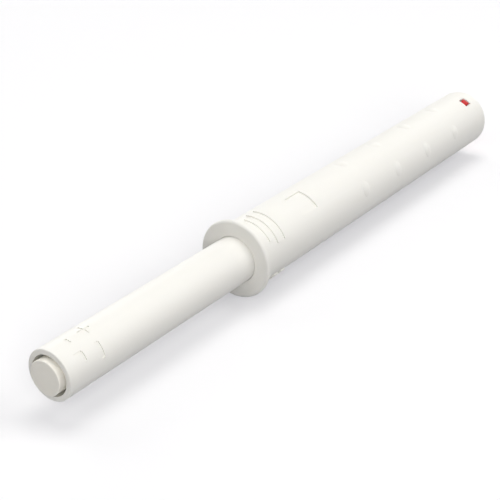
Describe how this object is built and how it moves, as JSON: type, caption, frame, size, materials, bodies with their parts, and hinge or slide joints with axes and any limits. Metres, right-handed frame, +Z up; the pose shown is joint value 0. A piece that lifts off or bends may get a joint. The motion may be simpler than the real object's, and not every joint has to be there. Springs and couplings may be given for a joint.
{
  "type": "touch latch",
  "caption": "Slender push latch for a drilled hole: flanged round housing, spring-driven plunger with a soft tip, heart-cam core that holds it in.",
  "frame": {"origin": "on the axis of the barrel, in the plane where the back of the flange sits on the cabinet", "axes": "+Y along the barrel from the flange to the closed rear end, so the plunger points to -Y; +Z up as in the picture; +X is the side towards the camera"},
  "size_m": [0.0116, 0.1078, 0.0116],
  "materials": {
    "housing_plastic": "satin off-white",
    "plunger_plastic": "satin off-white",
    "bumper_rubber": "matt off-white",
    "core_plastic": "satin red",
    "carriage_plastic": "satin light grey",
    "key_plastic": "satin off-white",
    "spring_steel": "bright drawn wire",
    "wire_steel": "bright drawn wire"
  },
  "bodies": {
    "housing": {"housing": "housing_plastic", "latch_core": "core_plastic", "main_spring": "spring_steel"},
    "carriage": {"carriage": "carriage_plastic"},
    "bumper": {"bumper": "bumper_rubber", "key_rod": "key_plastic"},
    "plunger": {"plunger": "plunger_plastic"},
    "follower": {"follower_wire": "wire_steel"}
  },
  "joints": [
    {"name": "plunger_travel", "type": "slide", "parent": "housing", "child": "carriage", "axis": [0, 1, 0], "range_m": [0, 0.03665], "stiffness_N_per_m": 200, "springref_m": -0.005, "deforming": ["main_spring"]},
    {"name": "depth_slide", "type": "slide", "parent": "carriage", "child": "bumper", "axis": [0, -1, 0], "range_m": [-0.001, 0.004]},
    {"name": "plunger_turn", "type": "hinge", "parent": "bumper", "child": "plunger", "pos_m": [0, -0.00825, 0], "axis": [0, 1, 0], "range_deg": [-180, 720]},
    {"name": "follower_swing", "type": "hinge", "parent": "carriage", "child": "follower", "pos_m": [0, 0.0161, 0], "axis": [-0.4289, 0, -0.9033], "range_deg": [0, 19], "stiffness_Nm_per_rad": 0.0005, "springref_deg": -1.72}
  ],
  "couplings": [
    {"joint": "plunger_turn", "follows": "depth_slide", "rad_per_m": 3141.6}
  ]
}
